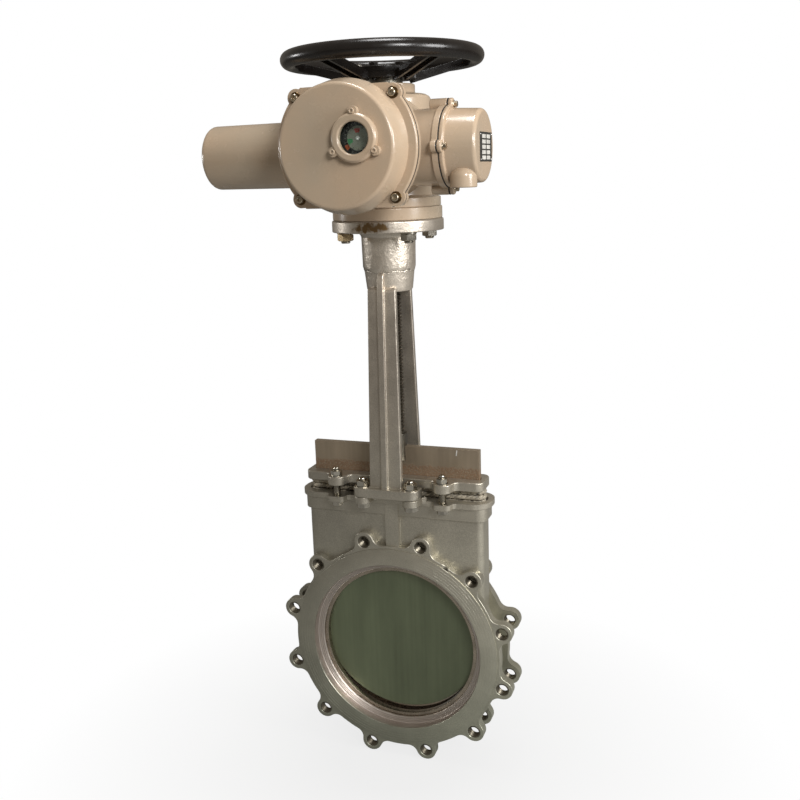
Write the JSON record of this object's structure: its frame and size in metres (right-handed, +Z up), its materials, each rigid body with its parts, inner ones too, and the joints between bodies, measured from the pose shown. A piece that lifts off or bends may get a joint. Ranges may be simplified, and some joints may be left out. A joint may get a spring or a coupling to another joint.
{
  "type": "knife gate valve",
  "caption": "Lug-type knife gate valve with a packed gland, a two-leg yoke with a rising stem, and an electric actuator with motor, terminal box and handwheel.",
  "frame": {"origin": "centre of the bore on the front raised face", "axes": "-Y out of the front flange, towards the viewer; +X to the right; +Z up the stem, the longest way"},
  "size_m": [0.4832, 0.383, 1.2162],
  "materials": {
    "valve_paint": "silver-grey metallic paint on cast steel, with bare machined flange faces",
    "seat_ring": "turned stainless steel",
    "packing": "greased braided fibre",
    "stainless_bolts": "bright stainless steel",
    "zinc_bolts": "zinc-plated steel",
    "bronze": "machined bronze",
    "dark_steel": "oil-blackened steel",
    "actuator_enamel": "glossy beige-grey enamel",
    "bearing_steel": "ground bearing steel",
    "stator": "varnished laminations",
    "control_plate": "bare aluminium sheet",
    "gasket": "black rubber sheet",
    "glass": "clear toughened glass",
    "dial": "matt black",
    "indicator": "grey disc with a red and a green field",
    "terminal_plastic": "moulded terminal block",
    "label_plate": "dark plate with blank light cells",
    "gate_steel": "stainless plate, ground along its length",
    "handwheel_enamel": "glossy black enamel"
  },
  "bodies": {
    "valve": {"body_casting": "valve_paint", "seat_rings": "seat_ring", "packing": "packing", "gland_follower": "valve_paint", "gland_bolts": "stainless_bolts", "gland_nuts": "stainless_bolts", "yoke": "valve_paint", "foot_bolts": "stainless_bolts", "foot_nuts": "stainless_bolts", "stem_bush": "bronze", "flange_studs": "zinc_bolts", "flange_nuts": "zinc_bolts", "base_plate": "valve_paint", "base_screws": "dark_steel", "gear_housing": "actuator_enamel", "lower_bearing": "bearing_steel", "upper_bearing": "bearing_steel", "worm_bearings": "bearing_steel", "stator_core": "stator", "motor_housing": "actuator_enamel", "motor_screws": "dark_steel", "control_plate": "control_plate", "cover_gasket": "gasket", "control_cover": "actuator_enamel", "cover_screws": "dark_steel", "sight_bezel": "actuator_enamel", "bezel_screws": "zinc_bolts", "sight_glass": "glass", "dial_plate": "dial", "terminal_gasket": "gasket", "terminal_cover": "actuator_enamel", "terminal_screws": "dark_steel", "terminal_block": "terminal_plastic", "nameplate": "label_plate"},
    "gate_and_stem": {"gate": "gate_steel", "stem_clevis": "gate_steel", "clevis_pin": "stainless_bolts", "stem": "gate_steel"},
    "hand_drive": {"drive_sleeve": "dark_steel", "stem_nut": "bronze", "handwheel": "handwheel_enamel", "wheel_hub": "zinc_bolts", "hub_bolts": "zinc_bolts"},
    "position_indicator": {"indicator_disc": "indicator"},
    "worm_gear": {"worm_wheel": "bronze"},
    "motor_rotor": {"worm_shaft": "dark_steel", "rotor_core": "stator"}
  },
  "joints": [
    {"name": "handwheel_spin", "type": "hinge", "parent": "valve", "child": "hand_drive", "pos_m": [0, 0.039, 0.9], "axis": [0, 0, 1], "range_deg": [-1320, 15780]},
    {"name": "gate_travel", "type": "slide", "parent": "valve", "child": "gate_and_stem", "axis": [0, 0, 1], "range_m": [-0.0221, 0.2631]},
    {"name": "indicator_spin", "type": "hinge", "parent": "valve", "child": "position_indicator", "pos_m": [0.034, -0.16, 0.866], "axis": [0, -1, 0], "range_deg": [-21, 249]},
    {"name": "motor_spin", "type": "hinge", "parent": "valve", "child": "motor_rotor", "pos_m": [0, -0.027, 0.849], "axis": [1, 0, 0], "continuous": true},
    {"name": "worm_gear_spin", "type": "hinge", "parent": "valve", "child": "worm_gear", "pos_m": [0, 0.039, 0.849], "axis": [0, 0, 1], "continuous": true}
  ],
  "couplings": [
    {"joint": "gate_travel", "follows": "handwheel_spin", "m_per_rad": 0.00095493},
    {"joint": "indicator_spin", "follows": "handwheel_spin", "ratio": 0.0157},
    {"joint": "worm_gear_spin", "follows": "motor_spin", "ratio": 0.033333}
  ]
}
